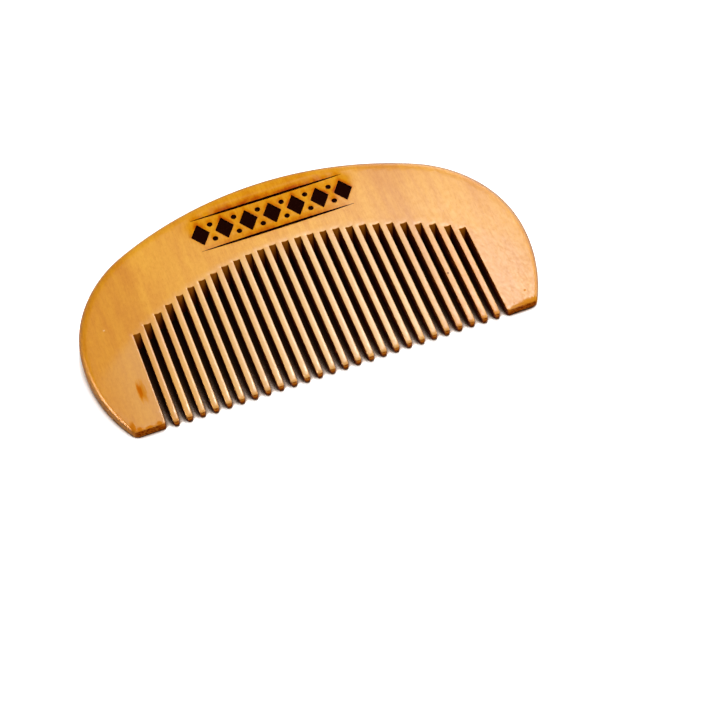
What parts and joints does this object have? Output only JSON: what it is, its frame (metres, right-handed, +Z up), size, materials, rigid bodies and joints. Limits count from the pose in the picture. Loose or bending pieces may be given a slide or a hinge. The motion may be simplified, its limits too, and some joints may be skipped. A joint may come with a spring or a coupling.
{
  "type": "beard comb",
  "caption": "Half-moon wooden beard comb with a rounded wedge-shaped spine, straight sawn teeth, wide guard ends and a shallow burnt ornament.",
  "frame": {"origin": "middle of the comb's footprint on its lower face, the face it rests on", "axes": "+X along the comb from guard to guard, +Y from the tooth tips to the spine, +Z up, out of the ornamented face"},
  "size_m": [0.105, 0.0554, 0.0096],
  "materials": {
    "wood": "polished, clear finish, with a burnt ornament"
  },
  "bodies": {
    "root": {"comb_body": "wood"}
  },
  "joints": []
}
